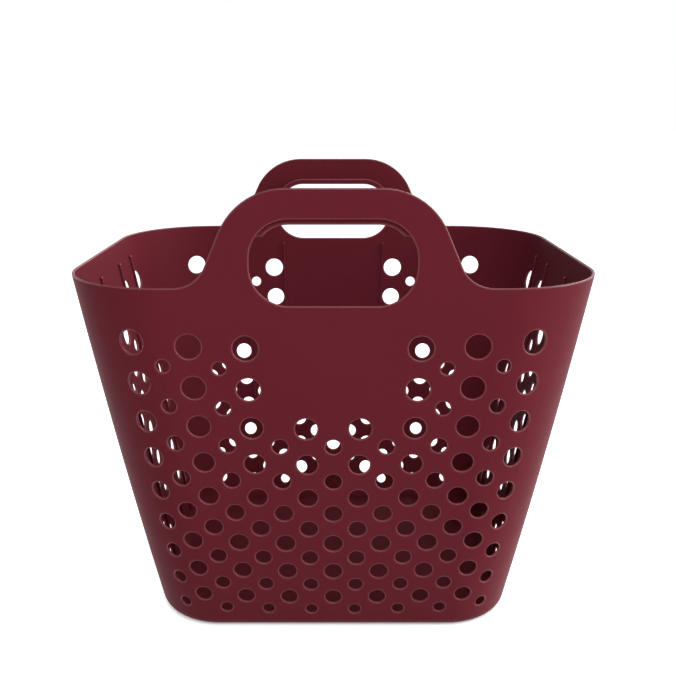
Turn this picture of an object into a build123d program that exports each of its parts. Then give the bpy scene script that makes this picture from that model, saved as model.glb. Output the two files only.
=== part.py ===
from build123d import *
import math
import os

# Shopping basket with two hand holes, injection moulded in soft plastic.
# Millimetres, +Z up. The origin lies under the middle of the base, on the floor.
# The long walls face -Y (front) and +Y (back), the short end walls face -X and +X.
# The moulding is divided along its natural regions, which meet face to face.

# Overall form
rim_height = 289.2
rim_width = 399.0
foot_width = 290.2
upright_depth = 309.2
foot_depth = 237.0
upright_height = 295.0
end_wall_flare = 1.8
wall = 2.2

# Base: a shallow pan with a rounded edge, raised on a flat foot ring
pan_height = 14.0
pan_edge_radius = 12.0
floor_thickness = 2.5
foot_lift = 1.5
foot_ring_inset = 26.0

# Perforation: rows of large holes with rows of small ones halfway between them
row_count = 9
lowest_row = 19.4
highest_row_below_band = 20.1
row_rise_growth = 0.75
row_upturn = 0.37
column_pitch_foot = 33.9
column_pitch_rim = 42.4
large_hole_lowest = 9.2
large_hole_highest = 18.0
large_hole_growth = 0.7
small_hole_widest = 14.6
small_hole_highest = 9.0
small_hole_widest_height = 80.0
large_hole_sides = 6
small_hole_sides = 4
bare_rows = 2
bare_columns = 1.0

# Columns, counted in pitches from the middle of a wall
panel_large_columns = (0.5, 1.5, 2.465)
panel_small_columns = (0.0, 1.0, 1.98)
corner_large_columns = (3.465,)
corner_small_columns = (2.95,)
end_large_columns = (0.0, 1.0)
end_small_columns = (0.5, 1.5)
corner_end_columns = (2.0,)
seam_land = 2.0
corner_levels = 3

# Stiffening ribs on the inner faces
rib_rise_behind_band = 6.0
rib_thickness = 1.2
rib_depth = 2.0
rib_offset = 9.5
panel_rib_columns = (1.0, 2.0)
end_rib_columns = (0.5, 1.5)
corner_rib_past_seam = 6.0
corner_rib_height = 34.0

# Handle: an arch that rises from the rim of each long wall
band_depth = 24.0
handle_seam_rise = 2.0
handle_rise = 67.8
handle_root_width = 189.0
handle_top_width = 130.0
handle_corner_radius = 49.0
handle_root_radius = 24.0
grip_height = 20.9
hand_hole_width = 115.0
hand_hole_height = 59.5
hand_hole_radius = 27.0

# Grip lip: a rolled edge behind the upper half of the hand hole
lip_depth = 7.0
lip_reach = 3.7
lip_seat = 1.6
lip_foot_below_top = 11.7

# Derived places
handle_top = rim_height + handle_rise
handle_seam = rim_height + handle_seam_rise
band_foot = rim_height - band_depth
hand_hole_top = handle_top - grip_height
hand_hole_middle = hand_hole_top - hand_hole_height / 2
floor_top = foot_lift + floor_thickness
bow_rise = (upright_depth - foot_depth) / 2
bow_radius = (upright_height**2 + bow_rise**2) / (2 * bow_rise)
bow_centre = upright_depth / 2 - bow_radius
highest_row = band_foot - highest_row_below_band
mean_row_rise = (highest_row - lowest_row) / (row_count - 1)
first_row_rise = mean_row_rise - row_rise_growth * (row_count - 2) / 2
row_heights = [
    lowest_row + row * first_row_rise + row_rise_growth * row * (row - 1) / 2
    for row in range(row_count)
]
rib_top = band_foot + rib_rise_behind_band
# Longer than any wall is from the middle plane, so that a prism cuts right through it
reach = rim_width
# How far a corner's cutter reaches to each side of the middle of the wall
corner_cut_reach = 3 * wall


def half_width(z):
    """Half the outside width: the end walls lean outwards and flare a little to the rim."""
    share = z / rim_height
    straight = (foot_width + (rim_width - foot_width) * share) / 2
    return straight - 4 * end_wall_flare * share * (1 - share)


def half_depth(z):
    """Half the outside depth: the long walls are one upright arc from foot to grip."""
    return bow_centre + math.sqrt(bow_radius**2 - (z - upright_height) ** 2)


def column_pitch(z):
    """The columns fan out with the taper of the walls."""
    return column_pitch_foot + (column_pitch_rim - column_pitch_foot) * z / rim_height


def large_radius(z):
    """Large holes grow from the lowest row to the highest, fastest low on the wall."""
    share = max(0, z - lowest_row) / (highest_row - lowest_row)
    growth = (large_hole_highest - large_hole_lowest) * share**large_hole_growth
    return (large_hole_lowest + growth) / 2


def small_radius(z):
    """Small holes are widest low on the wall and shrink evenly up and down from there."""
    share = abs(z - small_hole_widest_height) / (highest_row - small_hole_widest_height)
    return (small_hole_widest - (small_hole_widest - small_hole_highest) * share) / 2


def through_rows(value, z):
    """A straight line through what value gives at the lowest and the highest row."""
    share = (z - lowest_row) / (highest_row - lowest_row)
    return value(lowest_row) * (1 - share) + value(highest_row) * share


def front_seam(z):
    """Where a long wall meets a corner: midway between two columns of holes."""
    last_large = panel_large_columns[-1]

    def middle_of_land(height):
        middle = (last_large + corner_small_columns[0]) / 2 * column_pitch(height)
        return middle + (large_radius(height) - small_radius(height)) / 2

    return through_rows(middle_of_land, z)


def end_seam(z):
    """Where an end wall meets a corner: midway between two columns of holes."""
    last_small = end_small_columns[-1]

    def middle_of_land(height):
        middle = (last_small + corner_end_columns[0]) / 2 * column_pitch(height)
        return middle + (small_radius(height) - large_radius(height)) / 2

    return through_rows(middle_of_land, z)


def corner_radius(z, inset=0.0):
    """The round fills the corner, and leaves each wall a short land past its seam."""
    room = min(half_width(z) - front_seam(z), half_depth(z) - end_seam(z))
    return room - seam_land - inset


def corner_centre(z):
    """Centre of the round corner at +X, -Y."""
    radius = corner_radius(z)
    return half_width(z) - radius, radius - half_depth(z)


def mirrored(shape, *planes):
    for plane in planes:
        shape = mirror(shape, about=plane)
    return shape


def both_sides(columns):
    """Each column and its mirror image, the middle one once."""
    return sorted({side * column for column in columns for side in (-1, 1)})


def hole_places(large_columns, small_columns, bare=False):
    """Column, height, radius and number of sides of each hole on a stretch of wall.

    A row rises a little from the middle of the wall towards the corners.
    """
    places = []
    small_heights = [(low + high) / 2 for low, high in zip(row_heights, row_heights[1:])]
    for heights, columns, radius, sides in (
        (row_heights, large_columns, large_radius, large_hole_sides),
        (small_heights, small_columns, small_radius, small_hole_sides),
    ):
        for index, z in enumerate(heights):
            in_bare_rows = bare and index >= len(heights) - bare_rows
            for column in both_sides(columns):
                if in_bare_rows and abs(column) <= bare_columns:
                    continue
                places.append((column, z + row_upturn * column**2, radius(z), sides))
    return places


def punched(outline, places):
    """An outline with its holes, as drawn on a plane whose second axis is height."""
    holes = [
        Pos(column * column_pitch(z), z) * RegularPolygon(radius, sides)
        for column, z, radius, sides in places
    ]
    return outline - holes


def wall_strip(half_breadth, low, high):
    """A flat outline between two heights, bounded by a pair of straight seams."""
    return Polygon(
        (-half_breadth(low), low),
        (half_breadth(low), low),
        (half_breadth(high), high),
        (-half_breadth(high), high),
        align=None,
    )


def plate_section(outer, step):
    """Section of a curved plate: its outer face, and its inner face a step away."""
    inner = [(across + step, z) for across, z in reversed(outer)]
    profile = Spline(*outer) + Line(outer[-1], inner[0])
    profile += Spline(*inner) + Line(inner[-1], outer[0])
    return make_face(profile)


def bowed_slab(inset, thickness):
    """The front wall's curved plate, from the floor to the grip."""
    levels = (0.0, handle_top / 2, handle_top)
    outer = [(inset - half_depth(z), z) for z in levels]
    return extrude(Plane.YZ * plate_section(outer, thickness), amount=reach, both=True)


def leaning_slab(inset, thickness):
    """The gently flared plate of the end wall at +X."""
    levels = (0.0, rim_height / 2, rim_height)
    outer = [(half_width(z) - inset, z) for z in levels]
    return extrude(Plane.XZ * plate_section(outer, -thickness), amount=reach, both=True)


def front_piece(outline, inset=0.0, thickness=wall):
    """What an outline, seen from the front, leaves of the curved front plate."""
    return bowed_slab(inset, thickness) & extrude(Plane.XZ * outline, amount=reach)


def end_piece(outline, inset=0.0, thickness=wall):
    """What an outline, seen from the +X end, leaves of the flared end plate."""
    return leaning_slab(inset, thickness) & extrude(Plane.YZ * outline, amount=reach)


def corner_section(z, inset, thickness):
    """Level section of the corner at +X, -Y, with a short flat land at each seam."""
    centre_x, centre_y = corner_centre(z)
    seam_x = front_seam(z)
    seam_y = -end_seam(z)
    edges = []
    for depth in (inset, inset + thickness):
        radius = corner_radius(z, depth)
        front_y = centre_y - radius
        end_x = centre_x + radius
        edges.append(Line((seam_x, front_y), (centre_x, front_y)))
        edges.append(CenterArc((centre_x, centre_y), radius, 270, 90))
        edges.append(Line((end_x, centre_y), (end_x, seam_y)))
    edges.append(Line((seam_x, front_y), (seam_x, front_y - thickness)))
    edges.append(Line((end_x, seam_y), (end_x + thickness, seam_y)))
    return Pos(0, 0, z) * make_face(edges)


def corner_band(inset, thickness):
    """The curved corner between the front wall and the end wall at +X."""
    step = (rim_height - pan_height) / (corner_levels - 1)
    levels = [pan_height + step * index for index in range(corner_levels)]
    return loft([corner_section(z, inset, thickness) for z in levels])


def corner_hole(z, spot, outwards, radius, sides):
    """A cutter square to the corner's surface."""
    face = Plane(origin=(*spot, z), x_dir=(0, 0, 1), z_dir=(*outwards, 0))
    return extrude(face * RegularPolygon(radius, sides), amount=corner_cut_reach, both=True)


def round_the_corner(start, z):
    """How far a point is turned into the round, and how far it lies short of it."""
    return max(0, start) / corner_radius(z), min(0, start)


def corner_holes():
    """Two columns that go on from the front wall, and one from the end wall."""
    cutters = []
    for column, z, radius, sides in hole_places(corner_large_columns, corner_small_columns):
        if column > 0:
            centre_x, centre_y = corner_centre(z)
            bend = corner_radius(z, wall / 2)
            angle, short = round_the_corner(column * column_pitch(z) - centre_x, z)
            outwards = (math.sin(angle), -math.cos(angle))
            spot = (centre_x + short + bend * outwards[0], centre_y + bend * outwards[1])
            cutters.append(corner_hole(z, spot, outwards, radius, sides))
    for column, z, radius, sides in hole_places(corner_end_columns, ()):
        if column > 0:
            centre_x, centre_y = corner_centre(z)
            bend = corner_radius(z, wall / 2)
            angle, short = round_the_corner(column * column_pitch(z) + centre_y, z)
            outwards = (math.cos(angle), -math.sin(angle))
            spot = (centre_x + bend * outwards[0], centre_y - short + bend * outwards[1])
            cutters.append(corner_hole(z, spot, outwards, radius, sides))
    return cutters


def level_outline(z, inset=0.0):
    """Level outline of the whole basket: straight sides and round corners."""
    breadth = 2 * (half_width(z) - inset)
    depth = 2 * (half_depth(z) - inset)
    return Pos(0, 0, z) * RectangleRounded(breadth, depth, corner_radius(z, inset))


def rounded_pan(low, inset, edge_radius):
    """A tapered block from the pan's rim down to a level, with its lower edge rounded."""
    rim = level_outline(pan_height, inset)
    end_lean = math.degrees(math.atan2(half_width(pan_height) - half_width(0), pan_height))
    block = extrude(rim, amount=low - pan_height, taper=end_lean)
    lower_edges = block.edges().group_by(Axis.Z)[0]
    return fillet(lower_edges, edge_radius)


def base_pan():
    """Floor, rounded edge and foot ring."""
    pan = rounded_pan(0.0, 0.0, pan_edge_radius)
    pan -= rounded_pan(floor_top, wall, pan_edge_radius - wall)
    hollow = extrude(level_outline(0.0, foot_ring_inset), amount=foot_lift)
    return pan - hollow


def handle_outline():
    """The arch from the rim up, with concave roots, as seen from the front."""
    half_root = handle_root_width / 2
    half_top = handle_top_width / 2
    side_rim = half_width(rim_height)
    outline = Polygon(
        (-side_rim, band_foot),
        (side_rim, band_foot),
        (side_rim, rim_height),
        (half_root, rim_height),
        (half_top, handle_top),
        (-half_top, handle_top),
        (-half_root, rim_height),
        (-side_rim, rim_height),
        align=None,
    )
    rim_points = outline.vertices().group_by(Axis.Y)[1].sort_by(Axis.X)
    outline = fillet(rim_points[1:-1], handle_root_radius)
    top_corners = outline.vertices().group_by(Axis.Y)[-1]
    return fillet(top_corners, handle_corner_radius)


def hand_hole(margin=0.0):
    """The rounded hand hole, grown or shrunk all round by a margin."""
    return Pos(0, hand_hole_middle) * RectangleRounded(
        hand_hole_width + 2 * margin,
        hand_hole_height + 2 * margin,
        hand_hole_radius + margin,
    )


def slice_between(low, high):
    """A wide level stripe, to part an outline by height."""
    return Pos(0, (low + high) / 2) * Rectangle(2 * reach, high - low)


def grip_lip():
    """The rolled edge that widens the grip, seated behind the hand hole's upper edge."""
    lip_foot = hand_hole_top - lip_foot_below_top
    ring = hand_hole(lip_seat) - hand_hole(-lip_reach)
    upper = ring & slice_between(lip_foot, handle_top)
    return front_piece(upper, inset=wall, thickness=lip_depth)


def rib_outline(places_across, low, high):
    """A narrow strip that follows a column, given where it lies at its two ends."""
    across_low, across_high = places_across
    half = rib_thickness / 2
    return Polygon(
        (across_low - half, low),
        (across_low + half, low),
        (across_high + half, high),
        (across_high - half, high),
        align=None,
    )


def column_ribs(columns, piece):
    """A rib beside each column of small holes, on both halves of a wall."""
    ribs = []
    for column in columns:
        for side in (-1, 1):
            ends = [side * (column * column_pitch(z) + rib_offset) for z in (pan_height, rib_top)]
            ribs.append(piece(rib_outline(ends, pan_height, rib_top), inset=wall, thickness=rib_depth))
    return ribs


def corner_ribs():
    """A short rib at each end of a long wall, above the corner's highest small hole."""
    across = front_seam(rib_top) + corner_rib_past_seam
    strip = rib_outline((across, across), rib_top - corner_rib_height, rib_top)
    rib = corner_band(wall, rib_depth) & extrude(Plane.XZ * strip, amount=reach)
    return [rib, mirrored(rib, Plane.YZ)]


def as_compound(pieces):
    solids = [solid for piece in pieces for solid in piece.solids()]
    return Compound(children=solids)


panel_holes = hole_places(panel_large_columns, panel_small_columns, bare=True)
front_panel = front_piece(punched(wall_strip(front_seam, pan_height, band_foot), panel_holes))

end_holes = hole_places(end_large_columns, end_small_columns)
right_end_wall = end_piece(punched(wall_strip(end_seam, pan_height, rim_height), end_holes))

arch = handle_outline() - hand_hole()
band_area = wall_strip(front_seam, band_foot, rim_height) + slice_between(rim_height, handle_seam)
front_rim_band = front_piece(arch & band_area)
front_handle = front_piece(arch & slice_between(handle_seam, handle_top + wall))
front_grip_lip = grip_lip()

corner_front_right = corner_band(0.0, wall) - corner_holes()
front_ribs = as_compound(column_ribs(panel_rib_columns, front_piece) + corner_ribs())
right_end_ribs = as_compound(column_ribs(end_rib_columns, end_piece))

nodes = {
    "base_pan": base_pan(),
    "front_panel": front_panel,
    "back_panel": mirrored(front_panel, Plane.XZ),
    "front_rim_band": front_rim_band,
    "back_rim_band": mirrored(front_rim_band, Plane.XZ),
    "right_end_wall": right_end_wall,
    "left_end_wall": mirrored(right_end_wall, Plane.YZ),
    "corner_front_right": corner_front_right,
    "corner_front_left": mirrored(corner_front_right, Plane.YZ),
    "corner_back_right": mirrored(corner_front_right, Plane.XZ),
    "corner_back_left": mirrored(corner_front_right, Plane.YZ, Plane.XZ),
    "front_handle": front_handle,
    "back_handle": mirrored(front_handle, Plane.XZ),
    "front_grip_lip": front_grip_lip,
    "back_grip_lip": mirrored(front_grip_lip, Plane.XZ),
    "front_ribs": front_ribs,
    "back_ribs": mirrored(front_ribs, Plane.XZ),
    "right_end_ribs": right_end_ribs,
    "left_end_ribs": mirrored(right_end_ribs, Plane.YZ),
}

os.makedirs("parts", exist_ok=True)
for name, shape in nodes.items():
    export_step(shape, f"parts/{name}.step")
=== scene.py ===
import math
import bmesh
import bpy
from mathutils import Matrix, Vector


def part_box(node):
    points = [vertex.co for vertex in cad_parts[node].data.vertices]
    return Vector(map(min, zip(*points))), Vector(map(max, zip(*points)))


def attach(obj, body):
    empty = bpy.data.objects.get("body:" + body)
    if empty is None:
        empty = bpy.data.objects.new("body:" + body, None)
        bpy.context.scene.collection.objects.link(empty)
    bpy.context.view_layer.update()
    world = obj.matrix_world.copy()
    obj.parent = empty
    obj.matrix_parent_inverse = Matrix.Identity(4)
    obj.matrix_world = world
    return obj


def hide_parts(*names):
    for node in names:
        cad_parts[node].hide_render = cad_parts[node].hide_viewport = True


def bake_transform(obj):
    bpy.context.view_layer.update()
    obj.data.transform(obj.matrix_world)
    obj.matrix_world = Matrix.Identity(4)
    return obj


# %% [markdown]
# # A perforated shopping basket in soft moulded plastic
#
# The real basket is one injection moulding: a shallow pan, four thin walls that flare
# upwards, rows of round holes, and two arched handles that rise out of the long walls.
# Here it is made the way a sheet-metal pattern is made. One quarter of the wall is laid
# out flat, its holes are punched and its edges are rounded while it is flat, and then the
# sheet is bent into shape and mirrored. Flat work keeps the operators simple and exact.

# %% Load the frame
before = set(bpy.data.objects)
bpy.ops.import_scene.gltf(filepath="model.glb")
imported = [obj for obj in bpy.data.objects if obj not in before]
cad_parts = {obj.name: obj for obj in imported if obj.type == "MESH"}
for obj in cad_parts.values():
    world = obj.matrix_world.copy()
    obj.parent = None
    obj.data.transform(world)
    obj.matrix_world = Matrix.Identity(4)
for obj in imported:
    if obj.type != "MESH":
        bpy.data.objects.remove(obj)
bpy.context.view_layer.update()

# %% [markdown]
# The driving sizes come from the frame: heights and widths are read from the boxes of the
# CAD nodes. The few that a box cannot show, such as the hole pattern, are named here with
# the same meaning as in the CAD source. Everything is in metres. Two points that are nearer
# than touching count as one.

# %% Driving sizes
mm = 0.001
wall = 2.2 * mm
pan_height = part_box("base_pan")[1][2]
rim_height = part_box("right_end_wall")[1][2]
rim_half_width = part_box("right_end_wall")[1][0]
handle_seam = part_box("front_handle")[0][2]
handle_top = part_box("front_handle")[1][2]
upright_half_depth = -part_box("corner_front_right")[0][1]
foot_half_width = 145.1 * mm
foot_half_depth = 118.5 * mm
upright_height = 295.0 * mm
end_wall_flare = 1.8 * mm

pan_edge_radius = 12.0 * mm
foot_lift = 1.5 * mm
floor_top = 4.0 * mm
foot_ring_width = 14.0 * mm

row_count = 9
lowest_row = 19.4 * mm
first_row_rise = 25.5875 * mm
row_rise_growth = 0.75 * mm
row_upturn = 0.37 * mm
column_pitch_foot = 33.9 * mm
column_pitch_rim = 42.4 * mm
large_hole_lowest = 9.2 * mm
large_hole_highest = 18.0 * mm
large_hole_growth = 0.7
small_hole_widest = 14.6 * mm
small_hole_highest = 9.0 * mm
small_hole_widest_height = 80.0 * mm
bare_rows = 2
bare_columns = 1.0
front_large_columns = (0.5, 1.5, 2.465, 3.465)
front_small_columns = (0.0, 1.0, 1.98, 2.95)
end_large_columns = (0.0, 1.0, 2.0)
end_small_columns = (0.5, 1.5)
seam_land = 2 * mm

lip = 1.0 * mm
lip_steps = 2
ring_steps = 24
corner_steps = 18
touching = 1e-6

print(f"rim {rim_height / mm:.1f} mm high and {2 * rim_half_width / mm:.1f} mm wide")

# %% [markdown]
# The form of the wall. The end walls lean outwards and flare a little. The long walls are one
# upright arc from the foot to the grip, which is what makes the basket look full instead
# of boxy. A round corner joins them, and it widens towards the rim.

# %% The form of the walls
bow_rise = upright_half_depth - foot_half_depth
bow_radius = (upright_height**2 + bow_rise**2) / (2 * bow_rise)
row_heights = [
    lowest_row + row * first_row_rise + row_rise_growth * row * (row - 1) / 2
    for row in range(row_count)
]
small_row_heights = [(low + high) / 2 for low, high in zip(row_heights, row_heights[1:])]
highest_row = row_heights[-1]


def half_width(z):
    """From the middle plane to an end wall's outer face."""
    share = z / rim_height
    straight = foot_half_width + (rim_half_width - foot_half_width) * share
    return straight - 4 * end_wall_flare * share * (1 - share)


def half_depth(z):
    """From the middle plane to a long wall's outer face."""
    return upright_half_depth - bow_radius + math.sqrt(bow_radius**2 - (z - upright_height) ** 2)


def column_pitch(z):
    """The spacing of the columns of holes, which fan out towards the rim."""
    return column_pitch_foot + (column_pitch_rim - column_pitch_foot) * z / rim_height


def large_radius(z):
    """A large hole's radius, which grows quickly at the foot and then more slowly."""
    share = max(0, z - lowest_row) / (highest_row - lowest_row)
    growth = (large_hole_highest - large_hole_lowest) * share**large_hole_growth
    return (large_hole_lowest + growth) / 2


def small_radius(z):
    """A small hole's radius, which is largest some way above the foot."""
    share = abs(z - small_hole_widest_height) / (highest_row - small_hole_widest_height)
    return (small_hole_widest - (small_hole_widest - small_hole_highest) * share) / 2


def corner_start(z):
    """How far the long wall runs, from its middle to the start of the round corner."""
    column = (front_large_columns[2] + front_small_columns[3]) / 2

    def middle_of_land(height):
        return column * column_pitch(height) + (large_radius(height) - small_radius(height)) / 2

    share = (z - lowest_row) / (highest_row - lowest_row)
    seam = middle_of_land(lowest_row) * (1 - share) + middle_of_land(highest_row) * share
    return seam + seam_land


def corner_radius(z):
    """The round corner takes all the width that the long wall leaves."""
    return half_width(z) - corner_start(z)


def end_start(z):
    """How far the end wall runs, from its middle to the start of the round corner."""
    return half_depth(z) - corner_radius(z)


print(f"corner radius {corner_radius(pan_height) / mm:.1f} mm at the foot,"
      f" {corner_radius(rim_height) / mm:.1f} mm at the rim")

# %% [markdown]
# The flat sheet. Its first axis runs along a level line round the basket, from the middle
# of the long wall to the middle of the end wall, and its second axis is height. The long
# wall, the corner and the end wall each get a fixed share of the first axis, so the lines
# where one ends and the next begins are straight on the sheet although they fan out on
# the basket. Depth into the wall is the third axis, negative inwards. The sheet is drawn a
# little too large at the middle lines and at the foot, and trimmed once its edges are round.

# %% The flat sheet
front_share = 115 * mm
corner_share = 110 * mm
end_share = 68 * mm
corner_end = front_share + corner_share
sheet_end = corner_end + end_share
margin = 14 * mm
edge_start = 9.5 * mm
ring_end = -foot_ring_width
step_end = ring_end - foot_lift
foot_trim = 1 * mm
sheet_foot = step_end - 2 * foot_trim


def from_front(along, z):
    """Where a length along the wall, measured from the long wall's middle, is on the sheet."""
    start = corner_start(z)
    if along <= start:
        return along * front_share / start
    return front_share + (along - start) / corner_radius(z) * corner_share / (math.pi / 2)


def from_end(along, z):
    """The same, measured back from the end wall's middle."""
    start = end_start(z)
    if along <= start:
        return sheet_end - along * end_share / start
    return corner_end - (along - start) / corner_radius(z) * corner_share / (math.pi / 2)


def on_wall(across, z):
    """The outer face's place in plan at the front right quarter, and its outward direction."""
    start = corner_start(z)
    radius = corner_radius(z)
    side = end_start(z)
    if across <= front_share:
        return Vector((across * start / front_share, -half_depth(z))), Vector((0, -1))
    if across < corner_end:
        angle = (across - front_share) / corner_share * math.pi / 2
        outwards = Vector((math.sin(angle), -math.cos(angle)))
        return Vector((start, -side)) + radius * outwards, outwards
    return Vector((half_width(z), -(sheet_end - across) * side / end_share)), Vector((1, 0))


print(f"flat quarter sheet {sheet_end / mm:.0f} mm long")

# %% [markdown]
# The bend. Above the pan a point of the sheet goes straight to its place on the wall. In
# the pan the sheet follows a section: down the leaning wall, round the edge on an arc that
# starts along the wall, then level, with a step up inside the foot ring. The inner face has
# an arc of its own, because the floor is thicker than the walls. A bend modifier couldn't
# turn a sheet about a changing radius and about the pan's edge at once, so the bend is a
# formula.

# %% Bending the sheet
def lean_at(across):
    """How far the wall leans out from upright where it meets the pan, as an angle."""
    rise = 1 * mm
    low, outwards = on_wall(across, pan_height)
    high, _ = on_wall(across, pan_height + rise)
    return math.atan2((high - low).dot(outwards), rise)


def pan_section(height, lean, radius, level):
    """Inset and height in the pan: down the wall, round its edge, then level."""
    bend_start = level + radius * (1 - math.sin(lean))
    if height >= edge_start:
        share = (pan_height - height) / (pan_height - edge_start)
        drop = share * (pan_height - bend_start)
        return drop * math.tan(lean), pan_height - drop
    turned = lean + (math.pi / 2 - lean) * min(1, (edge_start - height) / edge_start)
    wall_inset = (pan_height - bend_start) * math.tan(lean)
    inset = wall_inset + radius * (math.cos(lean) - math.cos(turned))
    return inset - min(height, 0), bend_start - radius * (math.sin(turned) - math.sin(lean))


def bent(point):
    """A point of the flat sheet, on the basket."""
    across, height, depth = point
    inwards = -depth
    if height >= pan_height:
        place, outwards = on_wall(across, height)
        place = place - inwards * outwards
        return Vector((place.x, place.y, height))
    lean = lean_at(across)
    outer_inset, outer_z = pan_section(height, lean, pan_edge_radius, 0.0)
    inner_inset, inner_z = pan_section(height, lean, pan_edge_radius - wall, floor_top)
    if height < ring_end:
        outer_z = min(foot_lift, ring_end - height)
    share = inwards / wall
    inset = outer_inset + share * (inner_inset + wall - outer_inset)
    place, outwards = on_wall(across, pan_height)
    place = place - inset * outwards
    return Vector((place.x, place.y, outer_z + share * (inner_z - outer_z)))


print(f"walls lean {math.degrees(lean_at(0)):.1f} degrees at the front of the pan"
      f" and {math.degrees(lean_at(sheet_end)):.1f} at its ends")

# %% [markdown]
# The outline of the flat quarter: up the middle line, round the lower half of the hand
# hole, round its upper half, over the arch and down its leg, and along the rim. Rounded
# corners are tangent arcs, worked out from a corner point and a radius, as a designer
# would dimension them.

# %% The outline with its arched handle
hand_hole_half_width = 57.5 * mm
hand_hole_top = handle_top - 20.9 * mm
hand_hole_foot = hand_hole_top - 59.5 * mm
hand_hole_radius = 27 * mm
handle_root = 94.5 * mm
handle_root_radius = 24 * mm
handle_shoulder = 65 * mm
handle_shoulder_radius = 49 * mm


def rounded(corners, arc_step=math.radians(6)):
    """A path through corner points, each with the radius of the arc that rounds it."""
    path = []
    for index, (corner, radius) in enumerate(corners):
        if not radius:
            path.append(Vector(corner))
            continue
        corner = Vector(corner)
        back = (Vector(corners[index - 1][0]) - corner).normalized()
        ahead = (Vector(corners[index + 1][0]) - corner).normalized()
        half_angle = back.angle(ahead) / 2
        centre = corner + (back + ahead).normalized() * radius / math.sin(half_angle)
        first = corner + back * radius / math.tan(half_angle) - centre
        turn = first.angle_signed(corner + ahead * radius / math.tan(half_angle) - centre)
        steps = max(2, round(abs(turn) / arc_step))
        for step in range(steps + 1):
            path.append(centre + Matrix.Rotation(-turn * step / steps, 2) @ first)
    return path


def on_sheet(path):
    """A path on the real wall, laid on the flat sheet."""
    return [Vector((from_front(x, z), z, 0)) for x, z in path]


hand_hole_path = rounded([
    ((-margin, hand_hole_foot), 0),
    ((hand_hole_half_width, hand_hole_foot), hand_hole_radius),
    ((hand_hole_half_width, hand_hole_top), hand_hole_radius),
    ((-margin, hand_hole_top), 0),
])
arch_path = rounded([
    ((-margin, handle_top), 0),
    ((handle_shoulder, handle_top), handle_shoulder_radius),
    ((handle_root, rim_height), handle_root_radius),
    ((corner_start(rim_height), rim_height), 0),
])
outline = (
    [Vector((-margin, sheet_foot, 0))]
    + on_sheet(hand_hole_path)
    + on_sheet(arch_path)
    + [Vector((sheet_end + margin, rim_height, 0)), Vector((sheet_end + margin, sheet_foot, 0))]
)
print(f"outline with {len(outline)} points")

# %% [markdown]
# The holes. They lie in fanned columns: rows of large holes that grow towards the rim,
# with rows of small ones halfway between them. The top rows leave the middle of the long
# wall bare, and each row rises a little towards the corners. Each ring is a circle on the
# real wall, so it is drawn at true size and then laid on the sheet, which squeezes it.
# Boolean cuts through the bent wall would also make holes, but slowly and with uneven
# faces, so the rings are drawn before the sheet is filled.

# %% Punched holes
def hole_rings():
    """For each hole: where it is measured from, its column, its height and its radius."""
    rings = []
    for heights, radius, front_columns, end_columns in (
        (row_heights, large_radius, front_large_columns, end_large_columns),
        (small_row_heights, small_radius, front_small_columns, end_small_columns),
    ):
        for index, z in enumerate(heights):
            bare = index >= len(heights) - bare_rows
            rings += [
                (from_front, column, z + row_upturn * column**2, radius(z))
                for column in front_columns
                if not (bare and column <= bare_columns)
            ]
            rings += [
                (from_end, column, z + row_upturn * column**2, radius(z))
                for column in end_columns
            ]
    return rings


def add_ring(sheet, measured_from, column, z, radius):
    """Draws one hole at true size and lays it on the sheet."""
    along = column * column_pitch(z)
    ring = bmesh.ops.create_circle(sheet, segments=ring_steps, radius=radius)["verts"]
    for vert in ring:
        height = z + vert.co.y
        vert.co = (measured_from(along + vert.co.x, height), height, 0)


rings = hole_rings()
print(f"{len(rings)} holes on the quarter sheet")

# %% [markdown]
# From outline to moulded sheet: fill between the outline and the rings, give it the wall's
# thickness, and round every edge. Injection moulding leaves no sharp edge, and the fine
# bright line that each rounded lip catches is the basket's most telling detail. The faces
# of the lips go to a second material slot, so that they can shine more than the wall; that
# material is also painted paler, a painted highlight standing in for the bright line. An
# edge counts as sharp where the surface turns by more than one radian.

# %% Flat work: draw, fill, mould and cut
# The lip faces' slot: shinier plastic, painted paler as a painted highlight.
lip_painted_highlight_slot = 1
sharp_angle = 1.0


def add_loop(sheet, points):
    """Draws a closed outline."""
    loop = [sheet.verts.new(point) for point in points]
    for first, second in zip(loop, loop[1:] + loop[:1]):
        sheet.edges.new((first, second))


def filled(sheet):
    """Fills between the drawn outlines."""
    bmesh.ops.triangle_fill(sheet, use_beauty=True, edges=sheet.edges[:])


def moulded(sheet, thickness, rounding, steps):
    """Thickens a filled sheet inwards and rounds its edges."""
    outer = sheet.faces[:]
    pushed = bmesh.ops.extrude_face_region(sheet, geom=outer, use_keep_orig=True)["geom"]
    inner = [item for item in pushed if isinstance(item, bmesh.types.BMVert)]
    bmesh.ops.translate(sheet, verts=inner, vec=(0, 0, -thickness))
    bmesh.ops.recalc_face_normals(sheet, faces=sheet.faces[:])
    sharp = [
        edge for edge in sheet.edges if edge.is_manifold and edge.calc_face_angle() > sharp_angle
    ]
    lips = bmesh.ops.bevel(
        sheet,
        geom=sharp,
        offset=rounding,
        segments=steps,
        profile=0.5,
        affect="EDGES",
        material=-1,
        clamp_overlap=False,
    )["faces"]
    # The rounded lips take the lip slot, whose paler colour is a painted highlight.
    for face in lips:
        face.material_index = lip_painted_highlight_slot


def cut(sheet, axis, place, drop=None, snap=touching):
    """Cuts the sheet at a line across an axis; drop is the side that is thrown away."""
    normal = [0, 0, 0]
    normal[axis] = 1
    origin = [0, 0, 0]
    origin[axis] = place
    bmesh.ops.bisect_plane(
        sheet,
        geom=sheet.verts[:] + sheet.edges[:] + sheet.faces[:],
        dist=snap,
        plane_co=origin,
        plane_no=normal,
        clear_outer=drop == "above",
        clear_inner=drop == "below",
    )


# %% The moulded flat sheet
sheet = bmesh.new()
add_loop(sheet, outline)
for ring in rings:
    add_ring(sheet, *ring)
filled(sheet)
moulded(sheet, wall, lip, lip_steps)
print(f"moulded sheet: {len(sheet.faces)} faces")

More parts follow.
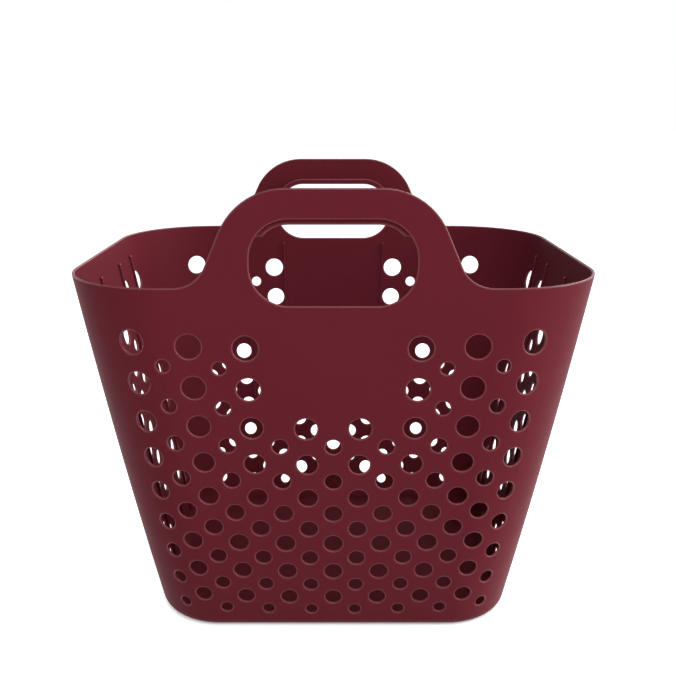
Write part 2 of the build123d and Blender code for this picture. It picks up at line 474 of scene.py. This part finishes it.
# %% [markdown]
# Before it is bent, the sheet is cut into narrow bands wherever the form is round: across
# at every row of holes and up the handle, closely round the pan's edge, and along every
# few degrees of the corner. The cuts leave no mark. They only give the sheet enough
# places to bend.

# %% Bend lines
edge_steps = 8
edge_levels = [edge_start * step / edge_steps for step in range(edge_steps)]
above_edge = 12 * mm
pan_levels = [step_end, ring_end, *edge_levels, edge_start, above_edge, pan_height]
rim_band_levels = [256 * mm, 267 * mm, 279 * mm]
wall_levels = sorted(row_heights + small_row_heights + rim_band_levels)
handle_levels = [301 * mm, 312 * mm, 323 * mm, 337 * mm, 347 * mm]
corner_snap = 0.05 * mm

cut(sheet, 0, 0.0, drop="below")
cut(sheet, 0, sheet_end, drop="above")
cut(sheet, 1, step_end - foot_trim, drop="below")
for level in pan_levels + wall_levels + handle_levels:
    cut(sheet, 1, level)
for step in range(corner_steps + 1):
    cut(sheet, 0, front_share + corner_share * step / corner_steps, snap=corner_snap)
print(f"ready to bend: {len(sheet.faces)} faces")

# %% [markdown]
# The handle is parted from the basket just above the rim. On the real basket there is no
# seam: the leg bends there when the handle is pressed inwards. So the handle is its own
# object, cut level, with the two cut faces left flat against each other.

# %% Part the handle
def capped(sheet, height):
    """Closes the level cut at a height and keeps its edge crisp."""
    rim = [
        edge
        for edge in sheet.edges
        if edge.is_boundary and all(abs(vert.co.y - height) < touching for vert in edge.verts)
    ]
    bmesh.ops.holes_fill(sheet, edges=rim, sides=0)
    for edge in rim:
        edge.smooth = False


handle_sheet = sheet.copy()
cut(handle_sheet, 1, handle_seam, drop="below")
cut(sheet, 1, handle_seam, drop="above")
capped(handle_sheet, handle_seam)
capped(sheet, handle_seam)
print(f"handle parted {(handle_seam - rim_height) / mm:.1f} mm above the rim")

# %% [markdown]
# A flat piece becomes a finished one in three moves: it is bent, mirrored about the middle
# planes, and its normals are made to point outwards. Weighted normals then keep the broad
# faces calm next to the narrow lips. The opposite wall gets a mirrored copy, and because
# mirroring turns faces inside out, the copy's faces are reversed.

# %% Bend, mirror and finish
def finished(sheet, name, axes):
    """Bends a sheet, mirrors it about the middle planes and makes it an object."""
    for vert in sheet.verts:
        vert.co = bent(vert.co)
    for axis in axes:
        bmesh.ops.mirror(
            sheet,
            geom=sheet.verts[:] + sheet.edges[:] + sheet.faces[:],
            axis=axis,
            merge_dist=touching,
        )
    bmesh.ops.remove_doubles(sheet, verts=sheet.verts[:], dist=2 * touching)
    bmesh.ops.holes_fill(sheet, edges=[edge for edge in sheet.edges if edge.is_boundary], sides=0)
    bmesh.ops.recalc_face_normals(sheet, faces=sheet.faces[:])
    for face in sheet.faces:
        face.smooth = True
    mesh = bpy.data.meshes.new(name)
    sheet.to_mesh(mesh)
    sheet.free()
    piece = bpy.data.objects.new(name, mesh)
    bpy.context.scene.collection.objects.link(piece)
    weighting = piece.modifiers.new("Even shading", "WEIGHTED_NORMAL")
    weighting.keep_sharp = True
    print(f"{name}: {len(mesh.polygons)} faces")
    return piece


def opposite(piece, name, turned):
    """The same piece on the opposite wall; turned says which axis is reversed."""
    mesh = bmesh.new()
    mesh.from_mesh(piece.data)
    bmesh.ops.scale(mesh, verts=mesh.verts[:], vec=turned)
    bmesh.ops.reverse_faces(mesh, faces=mesh.faces[:])
    copy = piece.copy()
    copy.name = name
    copy.data = bpy.data.meshes.new(name)
    mesh.to_mesh(copy.data)
    mesh.free()
    bpy.context.scene.collection.objects.link(copy)
    print(f"{name}: copied from {piece.name}")
    return copy


# %% Shell and handles
to_back = (1, -1, 1)
to_left = (-1, 1, 1)
shell = finished(sheet, "basket_shell", "XY")
front_handle = finished(handle_sheet, "front_handle_arch", "X")
back_handle = opposite(front_handle, "back_handle_arch", to_back)

# %% [markdown]
# The grip lip. Behind the upper half of the hand hole the edge is rolled inwards, so that
# a hand meets a broad round surface and not the thin wall. It reaches slightly below the
# wall's own edge, which shows as a second line under the first, and it ends in a small
# notch at each side of the hand hole. A round section swept along a path would need that
# path in space. A strip of the flat sheet, thicker and rounder than the wall, bends with it.

# %% Grip lip
grip_lip_depth = 7 * mm
grip_lip_reach = 3.7 * mm
grip_lip_seat = 1.6 * mm
grip_lip_foot = hand_hole_top - 11.7 * mm
grip_lip_rounding = 1.1 * mm
grip_lip_steps = 3
grip_lip_bend = handle_levels[2]
past_middle = 6 * mm


def moved_in(sheet, depth):
    """Moves a flat piece inwards, behind the wall."""
    bmesh.ops.translate(sheet, verts=sheet.verts[:], vec=(0, 0, -depth))


def grown(margin):
    """The right half of the hand hole's upper edge, moved outwards by a margin."""
    side = hand_hole_half_width + margin
    top = hand_hole_top + margin
    return rounded([
        ((side, hand_hole_foot + hand_hole_radius), 0),
        ((side, top), hand_hole_radius + margin),
        ((-past_middle, top), 0),
    ])


grip_sheet = bmesh.new()
add_loop(grip_sheet, on_sheet(grown(grip_lip_seat)) + on_sheet(grown(-grip_lip_reach))[::-1])
filled(grip_sheet)
cut(grip_sheet, 1, grip_lip_foot, drop="below")
moulded(grip_sheet, grip_lip_depth, grip_lip_rounding, grip_lip_steps)
moved_in(grip_sheet, wall)
cut(grip_sheet, 0, 0.0, drop="below")
cut(grip_sheet, 1, grip_lip_bend)
front_grip_lip = finished(grip_sheet, "front_grip_edge", "X")
back_grip_lip = opposite(front_grip_lip, "back_grip_edge", to_back)

# %% [markdown]
# Stiffening ribs run up the inner faces beside the columns of small holes, and end in a
# small round nub a little below the rim. They keep the thin wall from folding when the
# basket is carried full. They are narrow strips of the same flat sheet, moulded and bent in
# the same way, so that they follow the wall exactly.

# %% Ribs
rib_depth = 2 * mm
rib_half = 0.6 * mm
rib_rounding = 0.35 * mm
rib_offset = 9.5 * mm
rib_top = rim_height - 18 * mm
corner_rib_past = 4 * mm
corner_rib_height = 34 * mm
nub_radius = 1.2 * mm
nub_depth = 1.4 * mm
front_rib_columns = (1, 2)
end_rib_columns = (0.5, 1.5)


def add_rib(sheet, along, measured_from, low, high):
    """A strip along a column, given how far from the wall's middle it lies at a height."""
    levels = [low] + [level for level in wall_levels if low < level < high] + [high]
    left = [(measured_from(along(z) - rib_half, z), z, 0) for z in levels]
    right = [(measured_from(along(z) + rib_half, z), z, 0) for z in levels]
    add_loop(sheet, left + right[::-1])


def add_nub(sheet, across):
    """A small ball at the top of a rib, as glossy as a lip and painted as pale, a painted
    highlight.
    """
    ball = bmesh.ops.create_uvsphere(
        sheet,
        u_segments=12,
        v_segments=8,
        radius=nub_radius,
        matrix=Matrix.Translation((across, rib_top, -nub_depth)),
    )
    # The nub takes the lip slot: its paler colour is a painted highlight.
    for vert in ball["verts"]:
        for face in vert.link_faces:
            face.material_index = lip_painted_highlight_slot


def ribs(columns, measured_from, name, axes, corner=False):
    """The ribs of half a wall, with their nubs, mirrored onto the other half."""
    sheet = bmesh.new()
    tops = []
    for column in columns:

        def along(z):
            return column * column_pitch(z) + rib_offset

        add_rib(sheet, along, measured_from, pan_height, rib_top)
        tops.append(measured_from(along(rib_top), rib_top))
    if corner:
        reach = corner_start(rib_top) + corner_rib_past
        add_rib(sheet, lambda z: reach, measured_from, rib_top - corner_rib_height, rib_top)
        tops.append(measured_from(reach, rib_top))
    filled(sheet)
    moulded(sheet, rib_depth, rib_rounding, lip_steps)
    for across in tops:
        add_nub(sheet, across)
    moved_in(sheet, wall)
    return finished(sheet, name, axes)


# %% Ribs on the four walls
front_ribs = ribs(front_rib_columns, from_front, "front_wall_ribs", "X", corner=True)
back_ribs = opposite(front_ribs, "back_wall_ribs", to_back)
right_ribs = ribs(end_rib_columns, from_end, "right_end_wall_ribs", "Y")
left_ribs = opposite(right_ribs, "left_end_wall_ribs", to_left)

# %% [markdown]
# The plastic. One dark wine-red polymer throughout, with the satin surface that a lightly
# textured mould leaves: a fine grain in the bump, slightly uneven gloss, and a faint drift
# of tone over the wall, because coloured plastic never flows perfectly evenly. The lips are
# the same plastic, shinier, because the grain of a mould ends short of an edge and leaves it
# smooth, and painted paler, a painted highlight for the bright line they catch. One function
# makes both, without an image, so that nothing shows a seam where a texture would have to be
# wrapped round the basket.

# %% Plastic
colour_a, colour_b, colour_result = 6, 7, 2
gloss_drift = 0.1


def linked(tree, kind, inputs=None, **settings):
    """A shader node with its settings, constant inputs and links."""
    node = tree.nodes.new(kind)
    for key, value in settings.items():
        setattr(node, key, value)
    for key, value in (inputs or {}).items():
        if isinstance(value, bpy.types.NodeSocket):
            tree.links.new(value, node.inputs[key])
        else:
            node.inputs[key].default_value = value
    return node


def moulded_plastic(name, dark, light, gloss, shine):
    """Plastic between two tones; gloss is its lowest roughness, shine its specular level."""
    material = bpy.data.materials.new(name)
    material.use_nodes = True
    tree = material.node_tree
    shader = tree.nodes["Principled BSDF"]
    place = linked(tree, "ShaderNodeTexCoord").outputs["Object"]
    drift = linked(tree, "ShaderNodeTexNoise", {"Vector": place, "Scale": 14.0, "Detail": 3.0})
    grain = linked(tree, "ShaderNodeTexNoise", {"Vector": place, "Scale": 1400.0, "Detail": 2.0})
    tone = linked(
        tree,
        "ShaderNodeMix",
        {"Factor": drift.outputs["Fac"], colour_a: dark, colour_b: light},
        data_type="RGBA",
    )
    satin = linked(
        tree,
        "ShaderNodeMapRange",
        {"Value": drift.outputs["Fac"], "To Min": gloss, "To Max": gloss + gloss_drift},
    )
    bump = linked(
        tree,
        "ShaderNodeBump",
        {"Height": grain.outputs["Fac"], "Strength": 0.12, "Distance": 0.0002},
    )
    tree.links.new(tone.outputs[colour_result], shader.inputs["Base Color"])
    tree.links.new(satin.outputs["Result"], shader.inputs["Roughness"])
    tree.links.new(bump.outputs["Normal"], shader.inputs["Normal"])
    shader.inputs["Specular IOR Level"].default_value = shine
    return material


# %% Two finishes of one plastic, the lips' one with a painted highlight
plastic = moulded_plastic(
    "basket_plastic_satin",
    dark=(0.125, 0.0146, 0.0238, 1),
    light=(0.138, 0.0168, 0.0268, 1),
    gloss=0.46,
    shine=0.035,
)
# The lips' paler tones are a painted highlight; their lower roughness and higher shine are the
# plastic's own.
lip_plastic_painted_highlight = moulded_plastic(
    "basket_plastic_lip_painted_highlight",
    dark=(0.146, 0.0165, 0.0268, 1),
    light=(0.160, 0.0187, 0.0300, 1),
    gloss=0.30,
    shine=0.32,
)
shell_pieces = [shell, front_ribs, back_ribs, right_ribs, left_ribs]
handle_pieces = [front_handle, back_handle, front_grip_lip, back_grip_lip]
for piece in shell_pieces + handle_pieces:
    piece.data.materials.append(plastic)
    piece.data.materials.append(lip_plastic_painted_highlight)
print(f"{len(shell_pieces + handle_pieces)} pieces in satin plastic with shiny lips")

# %% [markdown]
# The shell and its ribs ride on the basket's body, and each grip edge rides on its
# handle's body. The handle arches are baked in place and attached to no body.

# %% What each piece rides on
for piece in shell_pieces:
    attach(piece, "basket")
for piece, body, side in ((front_handle, "front_handle", -1), (back_handle, "back_handle", 1)):
    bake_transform(piece)
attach(front_grip_lip, "front_handle")
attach(back_grip_lip, "back_handle")

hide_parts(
    "base_pan",
    "front_panel",
    "back_panel",
    "front_rim_band",
    "back_rim_band",
    "right_end_wall",
    "left_end_wall",
    "corner_front_right",
    "corner_front_left",
    "corner_back_right",
    "corner_back_left",
)
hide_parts("front_handle")
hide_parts("back_handle")
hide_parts("front_grip_lip")
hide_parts("back_grip_lip")
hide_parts("front_ribs")
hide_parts("back_ribs")
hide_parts("right_end_ribs")
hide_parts("left_end_ribs")

# %% [markdown]
# The studio floor is matt white. Under the lamps alone it would come out grey, so it also
# glows, but only where it is seen or reflected, because a glow that threw light would wash
# out the plastic. The glow fades towards the basket's foot, a painted shadow round the foot
# that adds to the lamps' own shadow where the basket stands. The fade follows the distance
# from a rectangle with round corners.

# %% Studio helpers
def seen_or_reflected(tree):
    """One for rays from the camera, a reflection or a clear part; none for light that falls."""
    path = linked(tree, "ShaderNodeLightPath").outputs
    kind = path["Is Camera Ray"]
    for other in ("Is Glossy Ray", "Is Transmission Ray"):
        either = linked(tree, "ShaderNodeMath", {0: kind, 1: path[other]}, operation="MAXIMUM")
        kind = either.outputs["Value"]
    return kind


def vector_math(tree, operation, *inputs):
    """One step of arithmetic on a place."""
    node = linked(tree, "ShaderNodeVectorMath", dict(enumerate(inputs)), operation=operation)
    return node.outputs["Value" if operation == "LENGTH" else "Vector"]


# %% White for the floor
shadow_inset = 8 * mm
shadow_width = 12 * mm
glow_in_shadow = 0.04
glow_in_open = 0.95

white = bpy.data.materials.new("studio_white")
white.use_nodes = True
white_tree = white.node_tree
white_shader = white_tree.nodes["Principled BSDF"]
white_shader.inputs["Base Color"].default_value = (0.8, 0.8, 0.8, 1)
white_shader.inputs["Roughness"].default_value = 0.9
white_shader.inputs["Specular IOR Level"].default_value = 0.0
white_shader.inputs["Emission Color"].default_value = (1, 1, 1, 1)

shadow_radius = corner_radius(pan_height) - shadow_inset
core = (
    foot_half_width - corner_radius(pan_height),
    foot_half_depth - corner_radius(pan_height),
    0,
)
spot = linked(white_tree, "ShaderNodeTexCoord").outputs["Object"]
quarter = vector_math(white_tree, "ABSOLUTE", spot)
past_core = vector_math(white_tree, "SUBTRACT", quarter, core)
beyond = vector_math(white_tree, "MAXIMUM", past_core, (0, 0, 0))
# Less glow near the foot paints a shadow band round it, on top of the lamps' own shadow.
glow = linked(
    white_tree,
    "ShaderNodeMapRange",
    {
        "Value": vector_math(white_tree, "LENGTH", beyond),
        "From Min": shadow_radius,
        "From Max": shadow_radius + shadow_width,
        "To Min": glow_in_shadow,
        "To Max": glow_in_open,
    },
)
seen_glow = linked(
    white_tree,
    "ShaderNodeMath",
    {0: glow.outputs["Result"], 1: seen_or_reflected(white_tree)},
    operation="MULTIPLY",
)
white_tree.links.new(seen_glow.outputs["Value"], white_shader.inputs["Emission Strength"])
print(f"white with a {shadow_width / mm:.0f} mm wide shadow round the foot")

# %% Floor
floor_half_size = 12.0
floor_sheet = bmesh.new()
bmesh.ops.create_grid(floor_sheet, x_segments=1, y_segments=1, size=floor_half_size)
floor_mesh = bpy.data.meshes.new("studio_floor")
floor_sheet.to_mesh(floor_mesh)
floor_sheet.free()
floor = bpy.data.objects.new("studio_floor", floor_mesh)
floor.data.materials.append(white)
bpy.context.scene.collection.objects.link(floor)
print(f"floor {2 * floor_half_size:.0f} m square")

# %% [markdown]
# The sky. Light from it is dim on the left and bright on the right, so that the basket is
# lit more from the right, as the softboxes light it too. Where the sky itself is seen or
# reflected, it is plain white.

# %% Sky
sky_dark_side = -0.5
sky_bright_side = 0.7
sky_strength = 0.38

world = bpy.data.worlds.new("studio_sky")
bpy.context.scene.world = world
world.use_nodes = True
sky_tree = world.node_tree
sky = sky_tree.nodes["Background"]
sky.inputs["Color"].default_value = (1, 1, 1, 1)
sideways = linked(
    sky_tree,
    "ShaderNodeSeparateXYZ",
    {0: linked(sky_tree, "ShaderNodeTexCoord").outputs["Generated"]},
)
brightness = linked(
    sky_tree,
    "ShaderNodeMapRange",
    {
        "Value": sideways.outputs["X"],
        "From Min": sky_dark_side,
        "From Max": sky_bright_side,
        "To Min": 0.0,
        "To Max": sky_strength,
    },
)
sky_tree.links.new(brightness.outputs["Result"], sky.inputs["Strength"])
backdrop = linked(
    sky_tree,
    "ShaderNodeBackground",
    {"Color": (1, 1, 1, 1), "Strength": 1.0},
)
choice = linked(
    sky_tree,
    "ShaderNodeMixShader",
    {
        0: seen_or_reflected(sky_tree),
        1: sky.outputs["Background"],
        2: backdrop.outputs["Background"],
    },
)
sky_tree.links.new(choice.outputs["Shader"], sky_tree.nodes["World Output"].inputs["Surface"])
print(f"sky strength 0 to {sky_strength} from left to right")

# %% [markdown]
# The lamps are softboxes, because broad light suits a satin surface. The key light stands
# high in front, so that every upward lip catches it. Two at the sides fill the walls, the
# right one stronger, and a weak one behind draws the back rim.

# %% Softboxes
def softbox(name, place, aim_height, size, power, spread=180):
    """A lamp with a rectangular face that points at the basket's upright middle line."""
    light = bpy.data.lights.new(name, "AREA")
    light.shape = "RECTANGLE"
    light.size, light.size_y = size
    light.energy = power
    light.spread = math.radians(spread)
    lamp = bpy.data.objects.new(name, light)
    lamp.location = place
    aim = Vector((0, 0, aim_height)) - Vector(place)
    lamp.rotation_euler = aim.to_track_quat("-Z", "Y").to_euler()
    bpy.context.scene.collection.objects.link(lamp)
    print(f"{name}: {power} W")


softbox("key_softbox", (0.2, -1.6, 1.9), aim_height=0.15, size=(1.1, 0.6), power=22)
softbox("back_softbox", (1.1, 1.9, 1.8), aim_height=0.25, size=(2.0, 1.2), power=7, spread=60)
softbox("left_softbox", (-1.6, -2.0, 1.5), aim_height=0.2, size=(1.2, 1.2), power=12)
softbox("right_softbox", (2.3, -0.5, 1.0), aim_height=0.15, size=(1.0, 1.6), power=39)

# %% [markdown]
# The camera stands close in front, slightly higher than the handles, and looks down by
# about 15 degrees. A small shift of the lens moves the view sideways without turning the
# camera. The Standard view shows colours as they are set.

# %% Camera
camera_data = bpy.data.cameras.new("camera")
camera_data.lens = 45.245
camera_data.sensor_width = 36.0
camera_data.shift_x = 0.00695
camera = bpy.data.objects.new("camera", camera_data)
camera.location = (0.0, -0.7234, 0.41195)
camera.rotation_euler = (math.radians(74.5), 0.0, 0.0)
bpy.context.scene.collection.objects.link(camera)
bpy.context.scene.camera = camera
bpy.context.scene.view_settings.view_transform = "Standard"
print(f"camera {camera.location.z / mm:.0f} mm above the floor")
